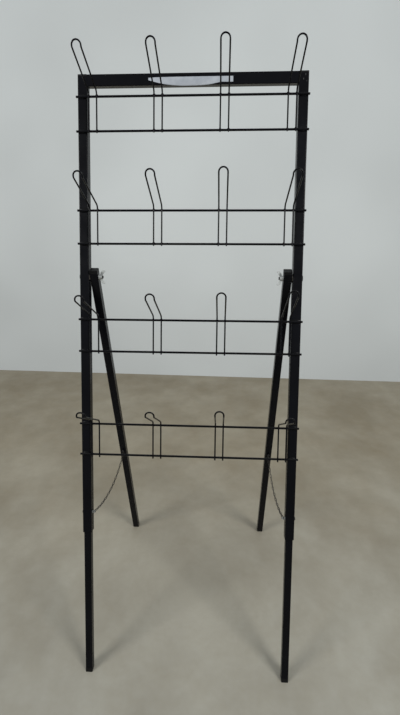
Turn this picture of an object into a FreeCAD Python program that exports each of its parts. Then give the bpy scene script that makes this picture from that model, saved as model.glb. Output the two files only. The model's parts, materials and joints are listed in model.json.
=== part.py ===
import FreeCAD
import Part

import math
import os

# Folding wire display stand: a sloping front frame of square steel tube carries
# rows of hairpin hooks, and two rear legs swing out behind it on wing-nut bolts.
# Millimetres, +X to the right, +Y to the back, +Z up. The origin is on the floor,
# midway between the front feet and the rear feet.

Vec = FreeCAD.Vector

# Front frame. Heights on it are measured along its slope, up from the floor.
FRAME_WIDTH = 600.0
FRAME_LENGTH = 1680.0
LEAN_DEG = 16.5
UPRIGHT = 25.0
UPRIGHT_WALL = 1.5
UPRIGHT_CORNER = 2.5
UPRIGHT_END = 433.0
BAR_HEIGHT = 30.0
BAR_DEPTH = 15.0
BAR_WALL = 1.5
BAR_CORNER = 2.0

# Lower legs, which slide up inside the uprights and are held by one screw each.
LEG = 20.0
LEG_WALL = 1.5
LEG_CORNER = 2.0
LEG_INSERT = 120.0

# Rear legs, hinged beside the uprights, below the lower wire of the second hook row.
HINGE_ROW = 2
HINGE_BELOW_ROW = 87.0
SPREAD_DEG = 29.5
REAR_TUBE = 22.0
REAR_WALL = 1.5
REAR_CORNER = 2.0
REAR_ABOVE_PIVOT = 22.0
REAR_GAP = 2.5

# Plastic plugs in the open tube ends.
CAP_HEAD = 4.0
REAR_CAP_HEAD = 8.0
PLUG_DEPTH = 12.0
PLUG_CLEARANCE = 0.1
PLUG_OVER_BOLT = 1.5
FOOT_HEAD = 12.0

# Hook rows: two level wires across the uprights, with hairpin hooks on them.
ROW_COUNT = 4
TOP_ROW_DROP = 58.0
ROW_PITCH = 290.0
WIRE_SPACING = 87.0
ROW_WIRE = 6.0
ROW_WIRE_OVERHANG = 3.0
HOOKS_PER_ROW = 4
HOOK_MARGIN = 42.0
HOOK_WIRE = 4.0
HOOK_WIDTH = 21.6
HOOK_TAIL = 6.0
HOOK_RISE = 11.0
HOOK_BEND = 12.0
ARM_LENGTH = 125.0
ARM_LIFT_DEG = 18.0
# How far each hook has been bent from that lift, top row first, left to right.
ARM_SET_DEG = (
    (-1.5, 0.5, 3.5, -0.5),
    (-2.5, -0.5, 1.5, -1.5),
    (-3.0, -0.5, 1.5, 4.5),
    (-1.5, 0.5, 3.0, -2.5),
)
# The U end is turned up from the arms, so that goods don't slide off.
TIP_LIFT_DEG = 50.0
TIP_BEND = 4.0
TIP_RUN = 3.5
# The wires are drawn with flats as far apart as they are thick, the bends as short runs.
ROW_WIRE_SIDES = 12
HOOK_WIRE_SIDES = 6
BEND_RUNS = 2
TURN_RUNS = 4

# Hinge hardware.
HINGE_BOLT = 8.0
HOLE_CLEARANCE = 0.05
BOLT_HEAD = 16.0
BOLT_HEAD_HEIGHT = 2.0
BOLT_PAST_NUT = 2.5
SIDE_PLAY = 0.3
WING_HUB = 15.0
WING_HUB_TOP = 12.0
WING_HUB_HEIGHT = 9.0
WING_SPAN = 38.0
WING_HEIGHT = 17.0
WING_THICK = 3.0

# Lower-leg screws, whose inner ends also hold the spread chains.
SCREW_HEIGHT = 490.0
SCREW = 4.0
SCREW_HEAD = 9.0
SCREW_HEAD_HEIGHT = 3.2
SCREW_PAST_NUT = 1.0
NUT_ACROSS = 7.0
NUT_THICK = 3.2
LOCK_NUT_THICK = 2.2

# Spread chains between the lower-leg screws and an anchor screw on each rear leg.
CHAIN_WIRE = 2.0
CHAIN_PITCH = 14.5
CHAIN_INNER_WIDTH = 4.6
CHAIN_SAG = 36.0
CHAIN_PLAY = 0.2
LINK_SIDES = 4
ANCHOR_HEAD_HEIGHT = 2.4

# Blank paper label stuck low on the front of the top bar.
LABEL_THICK = 0.4
LABEL_LEFT = -117.0
LABEL_RIGHT = 103.0
LABEL_TOP_DROP = 11.0
LABEL_TIP_DROP = 17.0
LABEL_BOTTOM_DROP = 27.5
LABEL_SAG_DROP = 35.5
LABEL_SAG_LEFT = -80.0
LABEL_SAG_RIGHT = 72.0

# Places worked out from the sizes above.
SIDES = (("left", -1), ("right", 1))
HINGE_ROW_DROP = TOP_ROW_DROP + (HINGE_ROW - 1) * ROW_PITCH + WIRE_SPACING
PIVOT_HEIGHT = FRAME_LENGTH - HINGE_ROW_DROP - HINGE_BELOW_ROW
PIVOT_BACK = UPRIGHT / 2
ANCHOR_BELOW_PIVOT = PIVOT_HEIGHT - SCREW_HEIGHT
REAR_ANGLE_DEG = SPREAD_DEG - LEAN_DEG
LEAN = math.radians(LEAN_DEG)
REAR_ANGLE = math.radians(REAR_ANGLE_DEG)
UPRIGHT_INNER = FRAME_WIDTH / 2 - UPRIGHT
REAR_OUTER = UPRIGHT_INNER - REAR_GAP
REAR_INNER = REAR_OUTER - REAR_TUBE
PIVOT_Y = PIVOT_HEIGHT * math.sin(LEAN) + PIVOT_BACK * math.cos(LEAN)
PIVOT_Z = PIVOT_HEIGHT * math.cos(LEAN) - PIVOT_BACK * math.sin(LEAN)
REAR_LENGTH = PIVOT_Z / math.cos(REAR_ANGLE)
LINK_HOLD = CHAIN_WIRE + 2 * CHAIN_PLAY
HOOK_PITCH = (FRAME_WIDTH - 2 * HOOK_MARGIN) / (HOOKS_PER_ROW - 1)
BELOW_FLOOR = 200.0

parts = {}


# Shared shapes

def rounded_rectangle(width, depth, corner):
    """A face in the XY plane, centred on the origin, with round corners."""
    x = width / 2
    y = depth / 2
    edges = []
    for sx, sy in ((1, 1), (-1, 1), (-1, -1), (1, -1)):
        centre = Vec(sx * (x - corner), sy * (y - corner), 0)
        start = math.atan2(sy, sx) - math.pi / 4
        turns = [start + k * math.pi / 4 for k in range(3)]
        points = [centre + Vec(corner * math.cos(t), corner * math.sin(t), 0) for t in turns]
        if edges:
            edges.append(Part.LineSegment(edges[-1].Vertexes[-1].Point, points[0]).toShape())
        edges.append(Part.Arc(*points).toShape())
    edges.append(Part.LineSegment(edges[-1].Vertexes[-1].Point, edges[0].Vertexes[0].Point).toShape())
    return Part.Face(Part.Wire(edges))


def rounded_bar(width, depth, corner, bottom, top):
    """A solid bar along Z from bottom to top."""
    bar = rounded_rectangle(width, depth, corner).extrude(Vec(0, 0, top - bottom))
    return bar.translated(Vec(0, 0, bottom))


def square_tube(width, depth, corner, wall, bottom, top):
    """A hollow tube along Z, round outside and square inside its corners."""
    bore = box_bar(width - 2 * wall, depth - 2 * wall, bottom, top)
    return rounded_bar(width, depth, corner, bottom, top).cut(bore)


def box_bar(width, depth, bottom, top):
    """A sharp-cornered bar along Z from bottom to top."""
    return Part.makeBox(width, depth, top - bottom, Vec(-width / 2, -depth / 2, bottom))


def plug(width, corner, wall, seat, head, depth=PLUG_DEPTH):
    """A tube plug: a head flush with the tube, above its seat or below, and a stem inside."""
    stem_width = width - 2 * (wall + PLUG_CLEARANCE)
    end = seat - math.copysign(depth, head)
    body = rounded_bar(width, width, corner, min(seat, seat + head), max(seat, seat + head))
    return body.fuse(box_bar(stem_width, stem_width, min(seat, end), max(seat, end)))


def bent_wire(points, diameter, sides, closed=False):
    """A wire of straight runs through points, mitred where they meet."""
    count = len(points)
    run_count = count if closed else count - 1
    runs = [(points[(k + 1) % count] - points[k]).normalize() for k in range(run_count)]
    joints = [runs[max(k - 1, 0)] + runs[min(k, run_count - 1)] for k in range(count)]
    if closed:
        joints = [runs[k - 1] + runs[k] for k in range(count)]
    across = runs[0].cross(Vec(1, 0, 0) if abs(runs[0].x) < 0.9 else Vec(0, 0, 1)).normalize()
    other = runs[0].cross(across)
    radius = diameter / 2 / math.cos(math.pi / sides)
    section = []
    for j in range(sides):
        turn = (j + 0.5) * 2 * math.pi / sides
        section.append(points[0] + across * (radius * math.cos(turn)) + other * (radius * math.sin(turn)))
    rings = []
    for k in range(count):
        way = runs[max(k - 1, 0)]
        reach = joints[k].dot(way)
        section = [p + way * (joints[k].dot(points[k] - p) / reach) for p in section]
        rings.append(section)
    faces = []
    for k in range(run_count):
        a = rings[k]
        b = rings[(k + 1) % count]
        for j in range(sides):
            n = (j + 1) % sides
            faces.append(Part.Face(Part.makePolygon([a[j], b[j], b[n], a[n], a[j]])))
    if not closed:
        faces += [Part.Face(Part.makePolygon(end + end[:1])) for end in (rings[0], rings[-1])]
    solid = Part.Solid(Part.Shell(faces))
    return solid if solid.Volume > 0 else solid.reversed()


def rod(diameter, start, end):
    """A round rod between two points."""
    along = end - start
    return Part.makeCylinder(diameter / 2, along.Length, start, along)


def ring(outer, inner, start, axis, length):
    """A round washer or sleeve."""
    blank = Part.makeCylinder(outer / 2, length, start, axis)
    return blank.cut(Part.makeCylinder(inner / 2, length, start, axis))


def hexagon(across, start, axis, length):
    """A hexagonal prism, flats across the given size."""
    radius = across / 2 / math.cos(math.pi / 6)
    turns = [k * math.pi / 3 for k in range(7)]
    corners = [Vec(radius * math.cos(t), radius * math.sin(t), 0) for t in turns]
    prism = Part.Face(Part.makePolygon(corners)).extrude(Vec(0, 0, length))
    prism.Placement = FreeCAD.Placement(start, FreeCAD.Rotation(Vec(0, 0, 1), axis))
    return prism


def lean_back(shape):
    """Turn a shape made on the upright frame to the frame's slope."""
    return shape.rotated(Vec(0, 0, 0), Vec(1, 0, 0), -LEAN_DEG)


def swing_rear(shape):
    """Turn a shape made about the hinge axis to the rear legs' slope, in its place."""
    return shape.rotated(Vec(0, 0, 0), Vec(1, 0, 0), REAR_ANGLE_DEG).translated(Vec(0, PIVOT_Y, PIVOT_Z))


def cut_at_floor(shape):
    """Trim what reaches below the floor, so that a foot stands flat."""
    low = shape.BoundBox
    corner = Vec(low.XMin - 1, low.YMin - 1, -BELOW_FLOOR)
    return shape.cut(Part.makeBox(low.XLength + 2, low.YLength + 2, BELOW_FLOOR, corner))


# Front frame, modelled standing upright with its front faces at Y = 0

def upright(side):
    middle = side * (FRAME_WIDTH - UPRIGHT) / 2
    tube = square_tube(UPRIGHT, UPRIGHT, UPRIGHT_CORNER, UPRIGHT_WALL, UPRIGHT_END, FRAME_LENGTH - CAP_HEAD)
    tube.translate(Vec(middle, UPRIGHT / 2, 0))
    for height, hole in ((PIVOT_HEIGHT, HINGE_BOLT), (SCREW_HEIGHT, SCREW)):
        tube = tube.cut(cross_hole(middle, height, hole, UPRIGHT))
    return lean_back(tube)


def cross_hole(middle, height, diameter, width):
    """A running hole across the frame through a tube of that width."""
    start = Vec(middle - width / 2 - 1, PIVOT_BACK, height)
    return rod(diameter + 2 * HOLE_CLEARANCE, start, start + Vec(width + 2, 0, 0))


def upright_cap(side):
    cap = plug(UPRIGHT, UPRIGHT_CORNER, UPRIGHT_WALL, FRAME_LENGTH - CAP_HEAD, CAP_HEAD)
    return lean_back(cap.translated(Vec(side * (FRAME_WIDTH - UPRIGHT) / 2, UPRIGHT / 2, 0)))


def top_bar():
    bar = square_tube(BAR_HEIGHT, BAR_DEPTH, BAR_CORNER, BAR_WALL, -UPRIGHT_INNER, UPRIGHT_INNER)
    bar.rotate(Vec(0, 0, 0), Vec(0, 1, 0), 90)
    return lean_back(bar.translated(Vec(0, BAR_DEPTH / 2, FRAME_LENGTH - BAR_HEIGHT / 2)))


def lower_leg(side):
    middle = side * (FRAME_WIDTH - UPRIGHT) / 2
    tube = square_tube(LEG, LEG, LEG_CORNER, LEG_WALL, FOOT_HEAD, UPRIGHT_END + LEG_INSERT)
    tube.translate(Vec(middle, UPRIGHT / 2, 0))
    return lean_back(tube.cut(cross_hole(middle, SCREW_HEIGHT, SCREW, LEG)))


def front_foot(side):
    foot = plug(LEG, LEG_CORNER, LEG_WALL, FOOT_HEAD, -FOOT_HEAD - LEG)
    foot.translate(Vec(side * (FRAME_WIDTH - UPRIGHT) / 2, UPRIGHT / 2, 0))
    return cut_at_floor(lean_back(foot))


def row_wire(height):
    reach = FRAME_WIDTH / 2 + ROW_WIRE_OVERHANG
    ends = [Vec(x, -ROW_WIRE / 2, height) for x in (-reach, reach)]
    return lean_back(bent_wire(ends, ROW_WIRE, ROW_WIRE_SIDES))


def level_bend(corner, radius, lift, turn, runs):
    """Points round a bend square to X, from a run forward that rises at lift and turns up by turn."""
    reach = math.copysign(radius, turn)
    start = corner - Vec(0, -math.cos(lift), math.sin(lift)) * (radius * math.tan(abs(turn) / 2))
    centre = start + Vec(0, math.sin(lift), math.cos(lift)) * reach
    turns = [lift + turn * k / runs for k in range(runs + 1)]
    return [centre - Vec(0, math.sin(t), math.cos(t)) * reach for t in turns]


def hook(middle, upper, lift_deg):
    """One hairpin: two tails up the row wires, a bend forward, two arms and a U end turned up."""
    lift = math.radians(lift_deg)
    tip_lift = lift + math.radians(TIP_LIFT_DEG)
    half = HOOK_WIDTH / 2
    corner = Vec(middle, -(ROW_WIRE + HOOK_WIRE / 2), upper + HOOK_RISE)
    tip_corner = corner + Vec(0, -math.cos(lift), math.sin(lift)) * ARM_LENGTH
    tip = Vec(0, -math.cos(tip_lift), math.sin(tip_lift))
    side = [Vec(corner.x, corner.y, upper - WIRE_SPACING - HOOK_TAIL)]
    side += level_bend(corner, HOOK_BEND, math.pi / 2, lift - math.pi / 2, BEND_RUNS)
    side += level_bend(tip_corner, TIP_BEND, lift, tip_lift - lift, 1)
    end = tip_corner + tip * TIP_RUN
    turns = [math.pi * k / TURN_RUNS for k in range(TURN_RUNS + 1)]
    points = [p - Vec(half, 0, 0) for p in side]
    points += [end + tip * (half * math.sin(t)) - Vec(half * math.cos(t), 0, 0) for t in turns]
    points += [p + Vec(half, 0, 0) for p in reversed(side)]
    return lean_back(bent_wire(points, HOOK_WIRE, HOOK_WIRE_SIDES))


def paper_label():
    """A thin strip with a tapered left end and a lower edge that hangs past the bar."""
    top = FRAME_LENGTH - LABEL_TOP_DROP
    tip = Vec(LABEL_LEFT, 0, FRAME_LENGTH - LABEL_TIP_DROP)
    top_left = Vec(LABEL_SAG_LEFT, 0, top - 1.5)
    top_right = Vec(LABEL_RIGHT, 0, top)
    low_right = Vec(LABEL_RIGHT, 0, FRAME_LENGTH - LABEL_BOTTOM_DROP)
    sag_right = Vec(LABEL_SAG_RIGHT, 0, FRAME_LENGTH - LABEL_BOTTOM_DROP)
    sag_middle = Vec((LABEL_SAG_LEFT + LABEL_SAG_RIGHT) / 2, 0, FRAME_LENGTH - LABEL_SAG_DROP)
    sag_left = Vec(LABEL_SAG_LEFT, 0, FRAME_LENGTH - LABEL_BOTTOM_DROP)
    outline = Part.Wire([
        Part.LineSegment(tip, top_left).toShape(),
        Part.LineSegment(top_left, top_right).toShape(),
        Part.LineSegment(top_right, low_right).toShape(),
        Part.LineSegment(low_right, sag_right).toShape(),
        Part.Arc(sag_right, sag_middle, sag_left).toShape(),
        Part.LineSegment(sag_left, tip).toShape(),
    ])
    return lean_back(Part.Face(outline).extrude(Vec(0, -LABEL_THICK, 0)))


# Rear legs, modelled hanging straight down from the hinge axis at the origin

def rear_middle(side):
    return side * (REAR_OUTER + REAR_INNER) / 2


def rear_leg(side):
    top = REAR_ABOVE_PIVOT - REAR_CAP_HEAD
    tube = square_tube(REAR_TUBE, REAR_TUBE, REAR_CORNER, REAR_WALL, FOOT_HEAD - REAR_LENGTH, top)
    tube.translate(Vec(rear_middle(side), 0, 0))
    reach = REAR_TUBE / 2 + 1
    hinge_face = Vec(rear_middle(side) - reach, 0, 0)
    hinge = rod(HINGE_BOLT + 2 * HOLE_CLEARANCE, hinge_face, hinge_face + Vec(2 * reach, 0, 0))
    anchor_face = Vec(rear_middle(side), -reach, -ANCHOR_BELOW_PIVOT)
    anchor = rod(SCREW + 2 * HOLE_CLEARANCE, anchor_face, anchor_face + Vec(0, reach, 0))
    return swing_rear(tube.cut(hinge).cut(anchor))


def rear_cap(side):
    seat = REAR_ABOVE_PIVOT - REAR_CAP_HEAD
    depth = min(PLUG_DEPTH, seat - HINGE_BOLT / 2 - PLUG_OVER_BOLT)
    cap = plug(REAR_TUBE, REAR_CORNER, REAR_WALL, seat, REAR_CAP_HEAD, depth)
    return swing_rear(cap.translated(Vec(rear_middle(side), 0, 0)))


def rear_foot(side):
    foot = plug(REAR_TUBE, REAR_CORNER, REAR_WALL, FOOT_HEAD - REAR_LENGTH, -FOOT_HEAD - REAR_TUBE)
    return cut_at_floor(swing_rear(foot.translated(Vec(rear_middle(side), 0, 0))))


# Hinge hardware, on the frame, modelled on the same upright frame as the tubes

def hinge_point(x):
    return Vec(x, PIVOT_BACK, PIVOT_HEIGHT)


def hinge_bolt(side):
    """Low round head outside the upright, shank in through both tubes to past the wing nut."""
    outside = side * FRAME_WIDTH / 2
    end = side * (REAR_INNER - SIDE_PLAY - WING_HUB_HEIGHT - BOLT_PAST_NUT)
    head = rod(BOLT_HEAD, hinge_point(outside), hinge_point(outside + side * BOLT_HEAD_HEIGHT))
    return head.fuse(rod(HINGE_BOLT, hinge_point(outside), hinge_point(end)))


def hinge_washer(side):
    """A thick washer between the two tubes."""
    hole = HINGE_BOLT + 2 * HOLE_CLEARANCE
    face = hinge_point(side * UPRIGHT_INNER)
    return ring(REAR_TUBE, hole, face, Vec(-side, 0, 0), REAR_GAP - SIDE_PLAY)


def wing_nut(side):
    """A tapered hub with two wings that rise away from the leg."""
    inward = Vec(-side, 0, 0)
    seat = hinge_point(side * (REAR_INNER - SIDE_PLAY))
    tip = WING_SPAN / 2
    root = WING_HUB_TOP / 2 - 1
    profile = ((root, 0.15), (tip * 0.7, 0.3), (tip * 0.95, 0.55), (tip, 0.85), (tip * 0.85, 1.0),
               (tip * 0.65, 0.8), (root, 0.5))
    nut = Part.makeCone(WING_HUB / 2, WING_HUB_TOP / 2, WING_HUB_HEIGHT, seat, inward)
    for way in (-1, 1):
        outline = []
        for out, rise in profile + profile[:1]:
            outline.append(seat + inward * (rise * WING_HEIGHT) + Vec(0, -WING_THICK / 2, way * out))
        nut = nut.fuse(Part.Face(Part.makePolygon(outline)).extrude(Vec(0, WING_THICK, 0)))
    return nut.cut(rod(HINGE_BOLT + 2 * HOLE_CLEARANCE, seat, seat + inward * WING_HEIGHT))


# Lower-leg screws

def screw_point(x):
    return Vec(x, PIVOT_BACK, SCREW_HEIGHT)


def leg_screw(side):
    outside = side * FRAME_WIDTH / 2
    end = side * (UPRIGHT_INNER - NUT_THICK - LINK_HOLD - LOCK_NUT_THICK - SCREW_PAST_NUT)
    head = rod(SCREW_HEAD, screw_point(outside), screw_point(outside + side * SCREW_HEAD_HEIGHT))
    return head.fuse(rod(SCREW, screw_point(outside), screw_point(end)))


def leg_screw_nuts(side):
    """One nut holds the leg, and a thinner one keeps the chain's end link on the screw."""
    inward = Vec(-side, 0, 0)
    nuts = []
    for off_wall, thick in ((0, NUT_THICK), (NUT_THICK + LINK_HOLD, LOCK_NUT_THICK)):
        seat = screw_point(side * (UPRIGHT_INNER - off_wall))
        nut = hexagon(NUT_ACROSS, seat, inward, thick)
        nuts.append(nut.cut(rod(SCREW + 2 * HOLE_CLEARANCE, seat, seat + inward * thick)))
    return nuts


def chain_anchor(side):
    """A hex-head screw in the rear leg's front face; the last link hangs under its head."""
    face = -REAR_TUBE / 2
    seat = Vec(rear_middle(side), face - 2 * LINK_HOLD, -ANCHOR_BELOW_PIVOT)
    point = Vec(rear_middle(side), face + 3 * REAR_WALL, -ANCHOR_BELOW_PIVOT)
    head = hexagon(NUT_ACROSS, seat, Vec(0, -1, 0), ANCHOR_HEAD_HEIGHT)
    return swing_rear(head.fuse(rod(SCREW, seat, point)))


# Spread chains

def chain_link(pitch):
    """A long link about the origin, its length along X and its plane XY."""
    long = (pitch + CHAIN_PLAY + CHAIN_WIRE) / 2
    wide = (CHAIN_INNER_WIDTH + CHAIN_WIRE) / 2
    flat = wide * 0.4
    quarter = [Vec(long, flat, 0), Vec(long - wide * 0.6, wide, 0)]
    half = quarter + [Vec(-p.x, p.y, 0) for p in reversed(quarter)]
    return bent_wire(half + [Vec(p.x, -p.y, 0) for p in reversed(half)], CHAIN_WIRE, LINK_SIDES, True)


def on_chain(link, middle, along, normal):
    """A link put at a point, its length along one direction and its plane square to another."""
    placed = link.copy()
    placed.Placement = FreeCAD.Placement(middle, FreeCAD.Rotation(along, Vec(0, 0, 0), normal, "ZXY"))
    return placed


def chain(side):
    """Links on a shallow curve, from the leg screw to one that hangs from the rear anchor."""
    hold = (CHAIN_PITCH - SCREW) / 2
    down = Vec(0, math.sin(REAR_ANGLE), -math.cos(REAR_ANGLE))
    face = Vec(0, math.cos(REAR_ANGLE), math.sin(REAR_ANGLE))
    anchor_at = Vec(rear_middle(side), -REAR_TUBE / 2 - 1.5 * LINK_HOLD, -ANCHOR_BELOW_PIVOT)
    anchor = swing_rear(Part.Vertex(anchor_at)).Point
    front = lean_back(Part.Vertex(screw_point(side * (UPRIGHT_INNER - NUT_THICK - LINK_HOLD / 2)))).Point
    last = anchor + down * hold
    rear = last + down * (CHAIN_PITCH + CHAIN_PLAY + CHAIN_WIRE) / 2
    steps = 2000
    curve = []
    for k in range(steps + 1):
        t = k / steps
        curve.append(front + (rear - front) * t - Vec(0, 0, 4 * CHAIN_SAG * t * (1 - t)))
    lengths = [0.0]
    for a, b in zip(curve, curve[1:]):
        lengths.append(lengths[-1] + (b - a).Length)
    # An even number of links, counting the hanging one, lets both ends lie as their screws need.
    room = lengths[-1] + SCREW / 2 + CHAIN_WIRE / 2
    count = 2 * round((room / CHAIN_PITCH + 1) / 2)
    pitch = room / (count - 1)
    link = chain_link(pitch)
    sideways = Vec(0, 0, 1).cross(rear - front).normalize()
    links = [on_chain(chain_link(CHAIN_PITCH), last, down, face)]
    for k in range(count - 1):
        middle = (k + 0.5) * pitch - SCREW / 2
        at = min(range(1, steps), key=lambda n: abs(lengths[n] - middle))
        along = (curve[at + 1] - curve[at - 1]).normalize()
        links.append(on_chain(link, curve[at], along, along.cross(sideways) if k % 2 else sideways))
    return Part.Compound(links)


# Assembly

def add(name, shape):
    parts[name] = shape


for side_name, side in SIDES:
    add(side_name + "_upright", upright(side))
    add(side_name + "_upright_cap", upright_cap(side))
    add(side_name + "_lower_leg", lower_leg(side))
    add(side_name + "_front_foot", front_foot(side))
    add(side_name + "_rear_leg", rear_leg(side))
    add(side_name + "_rear_leg_cap", rear_cap(side))
    add(side_name + "_rear_foot", rear_foot(side))
    add(side_name + "_chain_anchor", chain_anchor(side))
    add(side_name + "_spread_chain", chain(side))

for name, make in (("hinge_bolts", hinge_bolt), ("hinge_washers", hinge_washer),
                   ("wing_nuts", wing_nut), ("leg_screws", leg_screw)):
    add(name, lean_back(Part.Compound([make(side) for _, side in SIDES])))
add("leg_screw_nuts", lean_back(Part.Compound([nut for _, side in SIDES for nut in leg_screw_nuts(side)])))

add("top_bar", top_bar())
add("paper_label", paper_label())

for row in range(ROW_COUNT):
    upper_wire = FRAME_LENGTH - TOP_ROW_DROP - row * ROW_PITCH
    add("row%d_upper_wire" % (row + 1), row_wire(upper_wire))
    add("row%d_lower_wire" % (row + 1), row_wire(upper_wire - WIRE_SPACING))
    for column in range(HOOKS_PER_ROW):
        across = (column - (HOOKS_PER_ROW - 1) / 2) * HOOK_PITCH
        set_deg = ARM_SET_DEG[row % len(ARM_SET_DEG)][column % len(ARM_SET_DEG[0])]
        add("row%d_hook%d" % (row + 1, column + 1), hook(across, upper_wire, ARM_LIFT_DEG + set_deg))

front_edge = parts["left_front_foot"].optimalBoundingBox(False, False).YMin
back_edge = parts["left_rear_foot"].optimalBoundingBox(False, False).YMax
to_origin = Vec(0, -(front_edge + back_edge) / 2, 0)

os.makedirs("parts", exist_ok=True)
for name, shape in parts.items():
    placed = shape.translated(to_origin)
    placed.exportStep("parts/%s.step" % name)
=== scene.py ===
import json
import math

import bpy
from mathutils import Matrix, Vector


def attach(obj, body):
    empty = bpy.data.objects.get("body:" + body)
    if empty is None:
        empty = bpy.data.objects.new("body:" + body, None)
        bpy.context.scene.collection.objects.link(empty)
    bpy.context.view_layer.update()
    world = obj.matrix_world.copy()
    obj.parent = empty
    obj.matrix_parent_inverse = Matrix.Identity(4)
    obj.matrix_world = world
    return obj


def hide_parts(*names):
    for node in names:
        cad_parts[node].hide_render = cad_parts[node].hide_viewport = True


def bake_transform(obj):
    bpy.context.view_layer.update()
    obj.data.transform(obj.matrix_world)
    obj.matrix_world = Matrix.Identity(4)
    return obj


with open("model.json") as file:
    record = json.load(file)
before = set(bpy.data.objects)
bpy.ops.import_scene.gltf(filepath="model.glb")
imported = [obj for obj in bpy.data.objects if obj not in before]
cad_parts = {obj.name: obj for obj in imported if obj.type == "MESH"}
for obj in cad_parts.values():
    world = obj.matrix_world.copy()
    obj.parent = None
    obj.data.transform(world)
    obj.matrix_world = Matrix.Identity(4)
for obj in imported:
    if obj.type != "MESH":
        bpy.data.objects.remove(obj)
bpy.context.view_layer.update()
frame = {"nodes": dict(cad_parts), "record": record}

# Sizes of the stand in metres, angles in radians where their names don't say degrees. The origin
# is on the floor, midway between the front and rear feet, and heights on the front frame are
# measured along its slope.
MM = 0.001
LEAN = math.radians(16.5)
REAR_LEAN = math.radians(13.0)
FRAME_BACK = -305.142 * MM
FRAME_TOP = 1680.0 * MM
HALF_WIDTH = 300.0 * MM
TUBE = 25.0 * MM
BAR_TALL = 30.0 * MM
BAR_DEEP = 15.0 * MM
REAR_TUBE = 22.0 * MM
REAR_MIDDLE = 261.5 * MM
PIVOT_UP = 1158.0 * MM
ROW_WIRE = 6.0 * MM
ROW_REACH = 303.0 * MM
TOP_ROW_DROP = 58.0 * MM
ROW_PITCH = 290.0 * MM
WIRE_DROP = 87.0 * MM
ROWS = [FRAME_TOP - TOP_ROW_DROP - ROW_PITCH * row for row in range(4)]
HOOK_PITCH = 172.0 * MM
COLUMNS = [(column - 1.5) * HOOK_PITCH for column in range(4)]
HOOK_WIRE = 4.0 * MM
HOOK_HALF = 10.8 * MM
HOOK_TAIL = 6.0 * MM
HOOK_RISE = 11.0 * MM
HOOK_BEND = 12.0 * MM
ARM = 125.0 * MM
TIP_BEND = 4.0 * MM
TIP_RUN = 3.5 * MM
TIP_LIFT = math.radians(50.0)
# A hair under half the hook's width, so that the two bends of its U end don't meet.
U_BEND = HOOK_HALF * 0.999
ARM_LIFT_DEG = 18.0
ARM_SET_DEG = (
    (-1.5, 0.5, 3.5, -0.5),
    (-2.5, -0.5, 1.5, -1.5),
    (-3.0, -0.5, 1.5, 4.5),
    (-1.5, 0.5, 3.0, -2.5),
)
CHAIN_WIRE = 2.0 * MM
CHAIN_PITCH = 14.5 * MM
CHAIN_WIDE = 6.6 * MM
CHAIN_PLAY = 0.2 * MM
CHAIN_SAG = 36.0 * MM
SCREW = 4.0 * MM
SCREW_UP = 490.0 * MM
NUT_THICK = 3.2 * MM


def on_frame(across, back, up):
    """A point given on the front frame as if it stood upright, in the row frame."""
    return Vector((across, back * math.cos(LEAN) + up * math.sin(LEAN) + FRAME_BACK,
                   up * math.cos(LEAN) - back * math.sin(LEAN)))


ACROSS = Vector((1, 0, 0))
UP = on_frame(0, 0, 1) - on_frame(0, 0, 0)
AHEAD = on_frame(0, -1, 0) - on_frame(0, 0, 0)


# Nodes for finishes and shapes

class Value:
    """A socket with arithmetic: an expression on it adds its Math nodes."""

    def __init__(self, graph, socket):
        self.graph = graph
        self.socket = socket

    def math(self, operation, *terms):
        return self.graph.node("ShaderNodeMath", {"operation": operation}, dict(enumerate(terms)))

    def __add__(self, other):
        return self.math("ADD", self, other)

    def __radd__(self, other):
        return self.math("ADD", other, self)

    def __sub__(self, other):
        return self.math("SUBTRACT", self, other)

    def __rsub__(self, other):
        return self.math("SUBTRACT", other, self)

    def __mul__(self, other):
        return self.math("MULTIPLY", self, other)

    def __rmul__(self, other):
        return self.math("MULTIPLY", other, self)

    def __truediv__(self, other):
        return self.math("DIVIDE", self, other)

    def __rtruediv__(self, other):
        return self.math("DIVIDE", other, self)

    def __lt__(self, other):
        return self.math("LESS_THAN", self, other)


class Graph:
    """A node tree that is put together node by node."""

    def __init__(self, tree):
        self.tree = tree

    def node(self, kind, settings=None, sockets=None, output=0):
        """One node: its settings first, then a value or a link for each socket named."""
        node = self.tree.nodes.new(kind)
        for name, setting in (settings or {}).items():
            setattr(node, name, setting)
        for name, value in (sockets or {}).items():
            if isinstance(value, Value):
                self.tree.links.new(value.socket, node.inputs[name])
            else:
                node.inputs[name].default_value = value
        return Value(self, node.outputs[output]) if node.outputs else None


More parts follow.
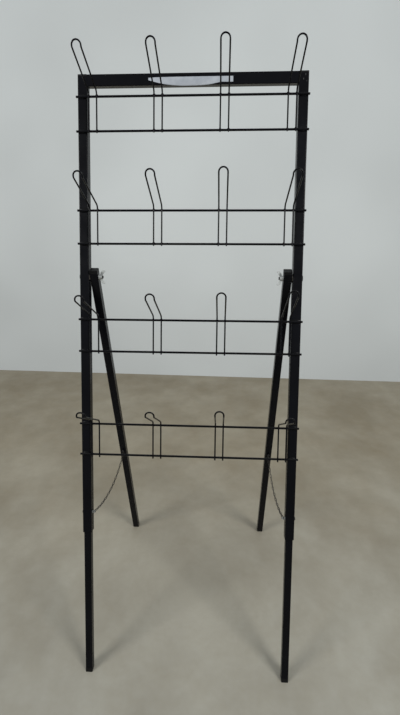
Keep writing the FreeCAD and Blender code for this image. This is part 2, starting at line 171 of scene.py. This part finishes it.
class Finish(Graph):
    """A material of the stand or of the room it stands in."""

    def __init__(self, name):
        self.material = bpy.data.materials.new(name)
        self.material.use_nodes = True
        super().__init__(self.material.node_tree)
        self.tree.nodes.clear()
        self.at = self.node("ShaderNodeTexCoord", output="Object")

    def noise(self, scale, detail=3.0, roughness=0.5):
        return self.node("ShaderNodeTexNoise", {}, {
            "Vector": self.at, "Scale": scale, "Detail": detail, "Roughness": roughness})

    def span(self, value, low, high, start, end):
        """The value's range from low to high, spread from start to end and held there."""
        return self.node("ShaderNodeMapRange", {}, {
            "Value": value, "From Min": low, "From Max": high,
            "To Min": start, "To Max": end})

    def mix(self, share, first, second):
        """Two colours blended, the second by the share."""
        first, second = [c if isinstance(c, Value) else c + (1.0,) for c in (first, second)]
        return self.node("ShaderNodeMix", {"data_type": "RGBA"}, {
            0: share, 6: first, 7: second}, 2)

    def patches(self, scale, detail=3.0, roughness=0.5, low=0.3, high=0.7):
        """Noise spread over the whole range from 0 to 1."""
        return self.span(self.noise(scale, detail, roughness), low, high, 0.0, 1.0)

    def spot(self, centre, reach):
        """1 inside an oval about a point, falling to 0 at its edge."""
        off = self.node("ShaderNodeVectorMath", {"operation": "SUBTRACT"}, {0: self.at, 1: centre})
        shares = self.node("ShaderNodeVectorMath", {"operation": "DIVIDE"}, {0: off, 1: reach})
        far = self.node("ShaderNodeVectorMath", {"operation": "LENGTH"}, {0: shares}, "Value")
        return self.span(far, 0.6, 1.0, 1.0, 0.0)

    def bump(self, height, strength, distance):
        return self.node("ShaderNodeBump", {}, {
            "Height": height, "Strength": strength, "Distance": distance})

    def surface(self, **sockets):
        named = {name.replace("_", " "): value for name, value in sockets.items()}
        shader = self.node("ShaderNodeBsdfPrincipled", {}, named)
        self.node("ShaderNodeOutputMaterial", {}, {"Surface": shader})
        return self.material


# Chips in the paint: across and up the frame, then half width and half height, in millimetres
CHIPS = ((291.0, 1671.0, 0.7, 3.5), (286.0, 1660.0, 0.9, 2.5), (294.0, 1655.0, 0.6, 1.6))


def black_paint():
    """Black enamel: slightly uneven, dusty on top, smoother below, chipped at one top corner."""
    finish = Finish("black_paint")
    black = finish.mix(finish.patches(9.0, 4.0, low=0.35),
                       (0.0013, 0.0014, 0.0022), (0.0021, 0.0023, 0.0036))
    facing = finish.node("ShaderNodeTexCoord", output="Normal")
    facing_up = finish.node("ShaderNodeSeparateXYZ", {}, {0: facing}, "Z")
    settled = finish.span(finish.noise(45.0, 5.0), 0.35, 0.65, 0.2, 1.0)
    dust = finish.span(facing_up, 0.55, 1.0, 0.0, 0.35) * settled
    dusty = finish.mix(dust, black, (0.045, 0.044, 0.04))
    chips = 0.0
    for across, up, wide, tall in CHIPS:
        reach = (wide * MM, 3 * MM, tall * MM)
        chips = chips + finish.spot(on_frame(across * MM, 0, up * MM), reach)
    color = finish.mix(chips * 0.22, dusty, (0.3, 0.3, 0.29))
    roughness = finish.span(finish.noise(30.0), 0.3, 0.7, 0.2, 0.3)
    peel = finish.noise(700.0, 2.0) + finish.noise(90.0, 2.0) * 0.6
    smoother_below = finish.span(facing_up, -0.95, -0.7, 1.0, 0.0)
    return finish.surface(Base_Color=color, Roughness=roughness, Specular_IOR_Level=0.12,
                          Coat_Weight=smoother_below, Coat_Roughness=0.2, Coat_IOR=1.8,
                          Normal=finish.bump(peel, 0.1, 0.4 * MM))


def moulded_plastic():
    """Black plug and foot plastic with a fine grain."""
    finish = Finish("black_plastic")
    color = finish.mix(finish.patches(60.0), (0.003, 0.003, 0.0033), (0.005, 0.005, 0.0055))
    roughness = finish.span(finish.noise(160.0), 0.3, 0.7, 0.4, 0.55)
    grain = finish.noise(1500.0, 2.0)
    return finish.surface(Base_Color=color, Roughness=roughness, Specular_IOR_Level=0.15,
                          Normal=finish.bump(grain, 0.2, 0.2 * MM))


def zinc_plate():
    """Dull zinc plating with darker patches."""
    finish = Finish("zinc")
    bright = finish.patches(140.0, 4.0, 0.6, 0.38, 0.65)
    color = finish.mix(bright, (0.31, 0.325, 0.315), (0.46, 0.475, 0.465))
    return finish.surface(Base_Color=color, Metallic=finish.span(bright, 0.0, 1.0, 0.55, 0.8),
                          Roughness=finish.span(finish.noise(220.0), 0.3, 0.7, 0.34, 0.5),
                          Normal=finish.bump(finish.noise(1200.0, 2.0), 0.15, 0.2 * MM))


def dark_zinc():
    """Plating of the chains and the washers, gone dark and brownish between rubbed places."""
    finish = Finish("dark_zinc")
    rubbed = finish.patches(150.0, 3.0, 0.6, 0.5, 0.62)
    color = finish.mix(rubbed, (0.018, 0.015, 0.012), (0.13, 0.12, 0.1))
    return finish.surface(Base_Color=color, Metallic=0.6,
                          Roughness=finish.span(finish.noise(300.0), 0.3, 0.7, 0.38, 0.55),
                          Normal=finish.bump(finish.noise(1200.0, 2.0), 0.15, 0.2 * MM))


def black_oxide():
    """Blackened steel of the screws and hinge bolts."""
    finish = Finish("black_screws")
    color = finish.mix(finish.patches(200.0), (0.008, 0.008, 0.009), (0.014, 0.014, 0.015))
    return finish.surface(Base_Color=color, Specular_IOR_Level=0.35,
                          Roughness=finish.span(finish.noise(300.0), 0.3, 0.7, 0.35, 0.5),
                          Normal=finish.bump(finish.noise(900.0, 2.0), 0.1, 0.2 * MM))


def label_paper():
    """Bluish white paper with fibres and a faint greying."""
    finish = Finish("label")
    fibres = finish.noise(900.0, 4.0, 0.7)
    grey = finish.patches(35.0, 4.0, 0.6, 0.35, 0.65)
    color = finish.mix(grey * 0.7 + fibres * 0.3, (0.24, 0.262, 0.295), (0.335, 0.357, 0.39))
    return finish.surface(Base_Color=color, Roughness=0.8,
                          Normal=finish.bump(fibres, 0.2, 0.15 * MM))


DARK_ZINC = dark_zinc()
FINISHES = {
    "black_paint": black_paint(),
    "black_plastic": moulded_plastic(),
    "zinc": zinc_plate(),
    "black_screws": black_oxide(),
    "label": label_paper(),
}
finish_of = {part["node"]: part["material_slot"] for part in frame["record"]["subparts"]}
for name, obj in frame["nodes"].items():
    finish = DARK_ZINC if name == "hinge_washers" else FINISHES[finish_of[name]]
    obj.data.materials.clear()
    obj.data.materials.append(finish)


# Trees that shape wires, links and welds

class Shape(Graph):
    """A geometry tree with named inputs for its sizes."""

    def __init__(self, name, **inputs):
        tree = bpy.data.node_groups.new(name, "GeometryNodeTree")
        super().__init__(tree)
        kinds = {float: "Float", int: "Int", bpy.types.Material: "Material"}
        interface = tree.interface
        interface.new_socket("Line", in_out="INPUT", socket_type="NodeSocketGeometry")
        self.keys = {}
        for label, kind in inputs.items():
            socket = interface.new_socket(label.replace("_", " "), in_out="INPUT",
                                          socket_type="NodeSocket" + kinds[kind])
            self.keys[label] = socket.identifier
        interface.new_socket("Shape", in_out="OUTPUT", socket_type="NodeSocketGeometry")
        sockets = tree.nodes.new("NodeGroupInput").outputs
        self.line = Value(self, sockets["Line"])
        self.sizes = {label: Value(self, sockets[label.replace("_", " ")]) for label in inputs}

    def attribute(self, name, kind):
        return self.node("GeometryNodeInputNamedAttribute", {"data_type": kind}, {"Name": name})

    def round_wire(self, line, diameter, sides):
        section = self.node("GeometryNodeCurvePrimitiveCircle", {}, {
            "Resolution": sides, "Radius": diameter / 2})
        return self.node("GeometryNodeCurveToMesh", {}, {
            "Curve": line, "Profile Curve": section, "Fill Caps": True})

    def at_each_point(self, instance, **sockets):
        """The instance at each point, its length along one kept direction, its top to another."""
        turned = self.node("FunctionNodeAxesToRotation", {
            "primary_axis": "X", "secondary_axis": "Z"}, {
            "Primary Axis": self.attribute("along", "FLOAT_VECTOR"),
            "Secondary Axis": self.attribute("out", "FLOAT_VECTOR")})
        return self.node("GeometryNodeInstanceOnPoints", {}, {
            "Points": self.line, "Instance": instance, "Rotation": turned, **sockets})

    def finished(self, shape):
        """Smooth apart from the flat wire ends, with its instances made real and its finish on."""
        corners = self.node("GeometryNodeInputMeshFaceNeighbors", output="Vertex Count")
        real = self.node("GeometryNodeRealizeInstances", {}, {"Geometry": shape})
        smooth = self.node("GeometryNodeSetShadeSmooth", {}, {
            "Geometry": real, "Selection": corners < 5})
        painted = self.node("GeometryNodeSetMaterial", {}, {
            "Geometry": smooth, "Material": self.sizes["Finish"]})
        self.node("NodeGroupOutput", {}, {"Shape": painted})
        return self


def bent_wire_tree():
    """Round wire along a line, each corner bent to the radius kept at that point."""
    tree = Shape("bent_wire", Diameter=float, Sides=int, Bend_Steps=int, Finish=bpy.types.Material)
    path = tree.node("GeometryNodeMeshToCurve", {}, {"Mesh": tree.line})
    bent = tree.node("GeometryNodeFilletCurve", {"mode": "POLY"}, {
        "Curve": path, "Count": tree.sizes["Bend_Steps"],
        "Radius": tree.attribute("bend", "FLOAT"), "Limit Radius": True})
    return tree.finished(tree.round_wire(bent, tree.sizes["Diameter"], tree.sizes["Sides"]))


def chain_tree():
    """A long round link at each point, turned the way that the point says."""
    tree = Shape("chain", Length=float, Width=float, Diameter=float, Sides=int,
                 Finish=bpy.types.Material)
    wire = tree.sizes["Diameter"]
    inside = tree.sizes["Width"] - wire
    box = tree.node("GeometryNodeCurvePrimitiveQuadrilateral", {}, {
        "Width": tree.sizes["Length"] - wire, "Height": inside})
    loop = tree.node("GeometryNodeFilletCurve", {"mode": "POLY"}, {
        "Curve": box, "Count": 5, "Radius": inside / 2, "Limit Radius": True})
    link = tree.round_wire(loop, wire, tree.sizes["Sides"])
    return tree.finished(tree.at_each_point(link))


def weld_tree():
    """A lumpy bead at each point, of that point's size, no two quite alike."""
    tree = Shape("welds", Unevenness=float, Lump=float, Lump_Scale=float, Seed=int,
                 Finish=bpy.types.Material)
    spread = tree.sizes["Unevenness"]
    ball = tree.node("GeometryNodeMeshUVSphere", {}, {"Segments": 12, "Rings": 8, "Radius": 1.0})
    grow = tree.node("FunctionNodeRandomValue", {"data_type": "FLOAT"}, {
        2: 1 - spread, 3: 1 + spread, "Seed": tree.sizes["Seed"]}, 1)
    size = tree.node("ShaderNodeVectorMath", {"operation": "SCALE"}, {
        0: tree.attribute("size", "FLOAT_VECTOR"), "Scale": grow})
    beads = tree.at_each_point(ball, Scale=size)
    real = tree.node("GeometryNodeRealizeInstances", {}, {"Geometry": beads})
    ripple = tree.node("ShaderNodeTexNoise", {}, {"Scale": tree.sizes["Lump_Scale"], "Detail": 1.0})
    push = tree.node("ShaderNodeVectorMath", {"operation": "SCALE"}, {
        0: tree.node("GeometryNodeInputNormal"), "Scale": (ripple - 0.5) * tree.sizes["Lump"]})
    lumpy = tree.node("GeometryNodeSetPosition", {}, {"Geometry": real, "Offset": push})
    return tree.finished(lumpy)


BENT_WIRE = bent_wire_tree()
CHAIN = chain_tree()
WELDS = weld_tree()


def line_mesh(name, points, joined, **attributes):
    """Points, joined by edges or loose, with a number or a direction kept at each."""
    mesh = bpy.data.meshes.new(name)
    edges = [(k, k + 1) for k in range(len(points) - 1)] if joined else []
    mesh.from_pydata(points, edges, [])
    for label, values in attributes.items():
        if isinstance(values[0], Vector):
            kept = mesh.attributes.new(label, "FLOAT_VECTOR", "POINT")
            kept.data.foreach_set("vector", [part for value in values for part in value])
        else:
            kept = mesh.attributes.new(label, "FLOAT", "POINT")
            kept.data.foreach_set("value", values)
    return mesh


def shaped(name, mesh, tree, slot, finish=None, **sizes):
    """The plain mesh that a tree makes from a line, as a piece of the stand."""
    piece = bpy.data.objects.new(name, mesh)
    bpy.context.scene.collection.objects.link(piece)
    modifier = piece.modifiers.new(name, "NODES")
    modifier.node_group = tree.tree
    modifier[tree.keys["Finish"]] = finish or FINISHES[slot]
    for label, size in sizes.items():
        modifier[tree.keys[label]] = size
    evaluated = piece.evaluated_get(bpy.context.evaluated_depsgraph_get())
    plain = bpy.data.meshes.new_from_object(evaluated)
    piece.modifiers.remove(modifier)
    piece.data = plain
    return piece


# Hooks and row wires

def rising(lift):
    """The way forward from the upright frame, rising at that angle."""
    return Vector((0, -math.cos(lift), math.sin(lift)))


def hook_line(across, upper, lift):
    """A hook's centreline with sharp corners, and the radius each corner is bent to."""
    corner = Vector((across, -(ROW_WIRE + HOOK_WIRE / 2), upper + HOOK_RISE))
    tail = Vector((across, corner.y, upper - WIRE_DROP - HOOK_TAIL))
    tip_corner = corner + rising(lift) * ARM
    end = tip_corner + rising(lift + TIP_LIFT) * (TIP_RUN + HOOK_HALF)
    side = ((tail, 0.0), (corner, HOOK_BEND), (tip_corner, TIP_BEND), (end, U_BEND))
    half = Vector((HOOK_HALF, 0, 0))
    points = [p - half for p, _ in side] + [p + half for p, _ in reversed(side)]
    bends = [bend for _, bend in side]
    return [on_frame(*p) for p in points], bends + bends[::-1]


def hook(name, across, upper, lift):
    points, bends = hook_line(across, upper, lift)
    line = line_mesh(name, points, True, bend=bends)
    piece = shaped(name + "_wire", line, BENT_WIRE, "black_paint",
                   Diameter=HOOK_WIRE, Sides=16, Bend_Steps=9)
    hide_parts(name)
    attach(piece, "front_frame")


def row_wire(name, height):
    ends = [on_frame(x, -ROW_WIRE / 2, height) for x in (-ROW_REACH, ROW_REACH)]
    line = line_mesh(name, ends, True, bend=[0.0, 0.0])
    piece = shaped(name + "_round", line, BENT_WIRE, "black_paint",
                   Diameter=ROW_WIRE, Sides=24, Bend_Steps=1)
    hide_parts(name)
    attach(piece, "front_frame")


# Weld beads in millimetres: how far off the frame's face and up from the wire's middle they
# sit, then half their length, height and depth. Those at the top bar sit off the bar's metal.
WELD_OVER_ROW_WIRE = (1.2, 3.3, (10.5, 2.9, 2.0))
WELD_UNDER_ROW_WIRE = (0.9, -2.9, (8.5, 2.0, 1.7))
WELD_AT_HOOK = (5.8, 1.6, (3.4, 2.6, 1.9))
WELD_BELOW_BAR = (0.6, (6.5, 1.2, 1.6))
WELD_BEHIND_BAR = (0.4, (13.0, 1.2, 1.6))


class Beads:
    """Places for weld beads: a middle, a long way, a way out of the metal and half sizes."""

    def __init__(self):
        self.middles = []
        self.along = []
        self.out = []
        self.size = []

    def add(self, middle, along, out, size_mm):
        self.middles.append(middle)
        self.along.append(along)
        self.out.append(out)
        self.size.append(Vector(size_mm) * MM)

    def at_wire(self, across, height, kind):
        off, up, size_mm = kind
        self.add(on_frame(across, -off * MM, height + up * MM), ACROSS, AHEAD, size_mm)

    def weld(self, name, seed):
        points = line_mesh(name, self.middles, False,
                           along=self.along, out=self.out, size=self.size)
        piece = shaped(name, points, WELDS, "black_paint",
                       Unevenness=0.18, Lump=0.9 * MM, Lump_Scale=420.0, Seed=seed)
        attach(piece, "front_frame")


for row, upper in enumerate(ROWS):
    beads = Beads()
    for label, height in (("upper", upper), ("lower", upper - WIRE_DROP)):
        row_wire("row%d_%s_wire" % (row + 1, label), height)
        for side in (-1, 1):
            middle = side * (HALF_WIDTH - TUBE / 2)
            beads.at_wire(middle, height, WELD_OVER_ROW_WIRE)
            beads.at_wire(middle, height, WELD_UNDER_ROW_WIRE)
        for across in COLUMNS:
            for side in (-1, 1):
                beads.at_wire(across + side * HOOK_HALF, height, WELD_AT_HOOK)
    for column, across in enumerate(COLUMNS):
        lift = math.radians(ARM_LIFT_DEG + ARM_SET_DEG[row][column])
        hook("row%d_hook%d" % (row + 1, column + 1), across, upper, lift)
    beads.weld("row%d_welds" % (row + 1), row + 1)

corners = Beads()
for side in (-1, 1):
    inner = side * (HALF_WIDTH - TUBE)
    off, size_mm = WELD_BELOW_BAR
    below = on_frame(inner, BAR_DEEP / 2, FRAME_TOP - BAR_TALL - off * MM)
    corners.add(below, AHEAD, ACROSS, size_mm)
    off, size_mm = WELD_BEHIND_BAR
    behind = on_frame(inner, BAR_DEEP + off * MM, FRAME_TOP - BAR_TALL / 2)
    corners.add(behind, UP, ACROSS, size_mm)
corners.weld("bar_welds", 11)


# Spread chains

def sagging_line(start, end, sag, steps=2000):
    """Points on a shallow hanging curve, with each one's distance from the start."""
    points = [start.lerp(end, k / steps) for k in range(steps + 1)]
    for k, point in enumerate(points):
        point.z -= 4 * sag * (k / steps) * (1 - k / steps)
    lengths = [0.0]
    for a, b in zip(points, points[1:]):
        lengths.append(lengths[-1] + (b - a).length)
    return points, lengths


def spread_chain(name, side):
    """Links from the lower leg's screw to the rear leg's, each a quarter turn from the last."""
    hold = CHAIN_WIRE + 2 * CHAIN_PLAY
    down = Vector((0, math.sin(REAR_LEAN), -math.cos(REAR_LEAN)))
    back = Vector((0, math.cos(REAR_LEAN), math.sin(REAR_LEAN)))
    front = on_frame(side * (HALF_WIDTH - TUBE - NUT_THICK - hold / 2), TUBE / 2, SCREW_UP)
    pivot = on_frame(side * REAR_MIDDLE, TUBE / 2, PIVOT_UP)
    anchor = pivot + down * (PIVOT_UP - SCREW_UP) - back * (REAR_TUBE / 2 + 1.5 * hold)
    last = anchor + down * (CHAIN_PITCH - SCREW) / 2
    rear = last + down * (CHAIN_PITCH + CHAIN_PLAY + CHAIN_WIRE) / 2
    points, lengths = sagging_line(front, rear, CHAIN_SAG)
    room = lengths[-1] + (SCREW + CHAIN_WIRE) / 2
    count = 2 * round((room / CHAIN_PITCH + 1) / 2)
    pitch = room / (count - 1)
    level = Vector((0, 0, 1)).cross(rear - front).normalized()
    middles = [last]
    along = [down]
    out = [back]
    for k in range(count - 1):
        reach = (k + 0.5) * pitch - SCREW / 2
        near = min(range(1, len(points) - 1), key=lambda n: abs(lengths[n] - reach))
        way = (points[near + 1] - points[near - 1]).normalized()
        middles.append(points[near])
        along.append(way)
        out.append(way.cross(level) if k % 2 else level)
    places = line_mesh(name, middles, False, along=along, out=out)
    chain = shaped(name + "_chain_links", places, CHAIN, "zinc", DARK_ZINC,
                   Length=pitch + CHAIN_PLAY + CHAIN_WIRE, Width=CHAIN_WIDE,
                   Diameter=CHAIN_WIRE, Sides=10)
    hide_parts(name + "_spread_chain")
    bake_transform(chain)


spread_chain("left", -1)
spread_chain("right", 1)


# Label: a thin strip, stuck along the bar, whose lower edge has come loose and curls a little.
# Its sizes are in millimetres, across from the stand's middle and down from the frame's top.

LABEL_LEFT = -113.0
LABEL_LONG = 220.0
LABEL_DROP = 10.4
LABEL_LOWEST = 33.0
LABEL_THICK = 0.18

# It narrows from here to its left end, from above and from below.
TAPER_START = -20.0
TAPER_ABOVE = 1.4
TAPER_BELOW = 15.0

# On the right its lower edge rises over this length.
RISE_START = 10.0
RISE_LONG = 65.0
RISE = 8.0

# It is loose below this share of its height, curls more in some places, and ripples all over.
# The waves are in radians to the millimetre.
LOOSE_BELOW = 0.45
LEAST_LIFT = 0.25
CURL = 2.4
CURL_CHANGE = 1.1
CURL_WAVES = 0.11
RIPPLE = 0.12
RIPPLE_WAVES = 0.31


def label_edges(across):
    """The strip's upper and lower edge, as distances below the frame's top."""
    left = max(0.0, TAPER_START - across) / (TAPER_START - LABEL_LEFT)
    right = min(max(0.0, across - RISE_START), RISE_LONG) / RISE_LONG
    upper = LABEL_DROP + TAPER_ABOVE * left ** 3
    lower = LABEL_LOWEST - TAPER_BELOW * left ** 2 - RISE * right ** 2
    return upper, lower


def label_lift(across, share):
    """How far the strip stands off the bar, at that share of the way down it."""
    most = CURL + CURL_CHANGE * math.sin(across * CURL_WAVES)
    curl = max(0.0, share - LOOSE_BELOW) ** 2 * most
    return LEAST_LIFT + curl + RIPPLE * math.sin(across * RIPPLE_WAVES + 2 * share)


def paper_label():
    columns = 56
    rows = 8
    front = []
    for c in range(columns + 1):
        across = LABEL_LEFT + LABEL_LONG * c / columns
        upper, lower = label_edges(across)
        for r in range(rows + 1):
            share = r / rows
            front.append((across, label_lift(across, share), upper + (lower - upper) * share))
    verts = []
    for thick in (0.0, LABEL_THICK):
        for across, lift, drop in front:
            verts.append(on_frame(across * MM, (thick - lift) * MM, FRAME_TOP - drop * MM))
    layer = len(front)
    faces = []
    step = rows + 1
    for c in range(columns):
        for r in range(rows):
            a = c * step + r
            faces.append((a, a + 1, a + step + 1, a + step))
            faces.append((layer + a, layer + a + step, layer + a + step + 1, layer + a + 1))
    rim = [c * step for c in range(columns)] + [columns * step + r for r in range(rows)]
    rim += [c * step + rows for c in range(columns, 0, -1)] + list(range(rows, 0, -1))
    for a, b in zip(rim, rim[1:] + rim[:1]):
        faces.append((a, b, layer + b, layer + a))
    mesh = bpy.data.meshes.new("label_strip")
    mesh.from_pydata(verts, [], faces)
    mesh.materials.append(FINISHES["label"])
    for polygon in mesh.polygons:
        polygon.use_smooth = polygon.index < 2 * columns * rows
    piece = bpy.data.objects.new("label_strip", mesh)
    bpy.context.scene.collection.objects.link(piece)
    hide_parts("paper_label")
    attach(piece, "front_frame")


paper_label()


# Room: a pale wall behind and a pale floor

def stage_plane(name, corners, material):
    mesh = bpy.data.meshes.new(name)
    mesh.from_pydata(corners, [], [(0, 1, 2, 3)])
    mesh.materials.append(material)
    obj = bpy.data.objects.new(name, mesh)
    bpy.context.scene.collection.objects.link(obj)


def wall_paint():
    """Pale paint on the room's side; the wall's other side lets the stand be seen from behind."""
    finish = Finish("wall")
    color = finish.mix(finish.patches(0.9, 2.0), (0.525, 0.552, 0.556), (0.612, 0.645, 0.65))
    painted = finish.node("ShaderNodeBsdfPrincipled", {}, {"Base Color": color, "Roughness": 0.9})
    far_side = finish.node("ShaderNodeNewGeometry", output="Backfacing")
    open_side = finish.node("ShaderNodeBsdfTransparent")
    shown = finish.node("ShaderNodeMixShader", {}, {0: far_side, 1: painted, 2: open_side})
    finish.node("ShaderNodeOutputMaterial", {}, {"Surface": shown})
    return finish.material


def floor_screed():
    """Cloudy pale screed, greyer in front and browner towards the wall."""
    finish = Finish("floor")
    back = finish.node("ShaderNodeSeparateXYZ", {}, {0: finish.at}, "Y")
    browner = finish.span(back + finish.noise(1.5, 3.0, 0.6) * 0.9, -0.2, 1.3, 0.0, 1.0)
    broad = finish.patches(2.6, 5.0, 0.62, 0.36, 0.66)
    grey = finish.mix(broad, (0.24, 0.23, 0.195), (0.325, 0.324, 0.29))
    brown = finish.mix(broad, (0.225, 0.19, 0.13), (0.32, 0.285, 0.215))
    fine = finish.span(finish.noise(11.0, 5.0, 0.65), 0.4, 0.7, 0.0, 0.35)
    color = finish.mix(fine, finish.mix(browner, grey, brown), (0.24, 0.22, 0.17))
    return finish.surface(Base_Color=color, Roughness=finish.span(broad, 0.0, 1.0, 0.6, 0.45))


WALL_MIDDLE = Vector((-0.07, 1.87, 0))
WALL_TURN = math.radians(-1.5)
WALL_HIGH = Vector((0, 0, 4))
HALF_WALL = Vector((math.cos(WALL_TURN), math.sin(WALL_TURN), 0)) * 5
FLOOR_SIDE = 6
FLOOR_FRONT = -5
FLOOR_BACK = WALL_MIDDLE.y + 1

wall_left = WALL_MIDDLE - HALF_WALL
wall_right = WALL_MIDDLE + HALF_WALL
stage_plane("floor", [(-FLOOR_SIDE, FLOOR_FRONT, 0), (FLOOR_SIDE, FLOOR_FRONT, 0),
                      (FLOOR_SIDE, FLOOR_BACK, 0), (-FLOOR_SIDE, FLOOR_BACK, 0)], floor_screed())
stage_plane("wall", [wall_left, wall_right, wall_right + WALL_HIGH, wall_left + WALL_HIGH],
            wall_paint())


# Light: two ceiling lights in front, and the pale room all round

LIT_PLACE = Vector((0, 0.3, 0.3))


def ceiling_light(name, place, power):
    light = bpy.data.lights.new(name, "AREA")
    light.shape = "RECTANGLE"
    light.size = 1.2
    light.size_y = 0.5
    light.energy = power
    light.color = (1.0, 1.0, 0.98)
    obj = bpy.data.objects.new(name, light)
    obj.location = place
    obj.rotation_mode = "QUATERNION"
    obj.rotation_quaternion = (LIT_PLACE - Vector(place)).to_track_quat("-Z", "Y")
    bpy.context.scene.collection.objects.link(obj)


ceiling_light("ceiling_left", (-2.6, -1.9, 2.9), 76)
ceiling_light("ceiling_right", (2.2, -2.1, 2.9), 86)

world = bpy.data.worlds.new("room")
bpy.context.scene.world = world
world.use_nodes = True
world.node_tree.nodes.clear()
room = Graph(world.node_tree)
pale_room = room.node("ShaderNodeBackground", {}, {
    "Color": (0.93, 0.97, 1.0, 1), "Strength": 0.44})
room.node("ShaderNodeOutputWorld", {}, {"Surface": pale_room})


# Camera: where the photograph was taken from, about 1.3 m up and tilted down

lens = bpy.data.cameras.new("camera")
lens.sensor_width = 36
lens.lens = 21.147
lens.clip_start = 0.05
camera = bpy.data.objects.new("camera", lens)
camera.matrix_world = Matrix((
    (0.998592, -0.016851, 0.050301, 0.08795),
    (0.05298, 0.365278, -0.92939, -1.10212),
    (-0.002713, 0.930746, 0.365657, 1.32218),
    (0, 0, 0, 1),
))
bpy.context.scene.collection.objects.link(camera)
bpy.context.scene.camera = camera
bpy.context.scene.view_settings.view_transform = "Standard"
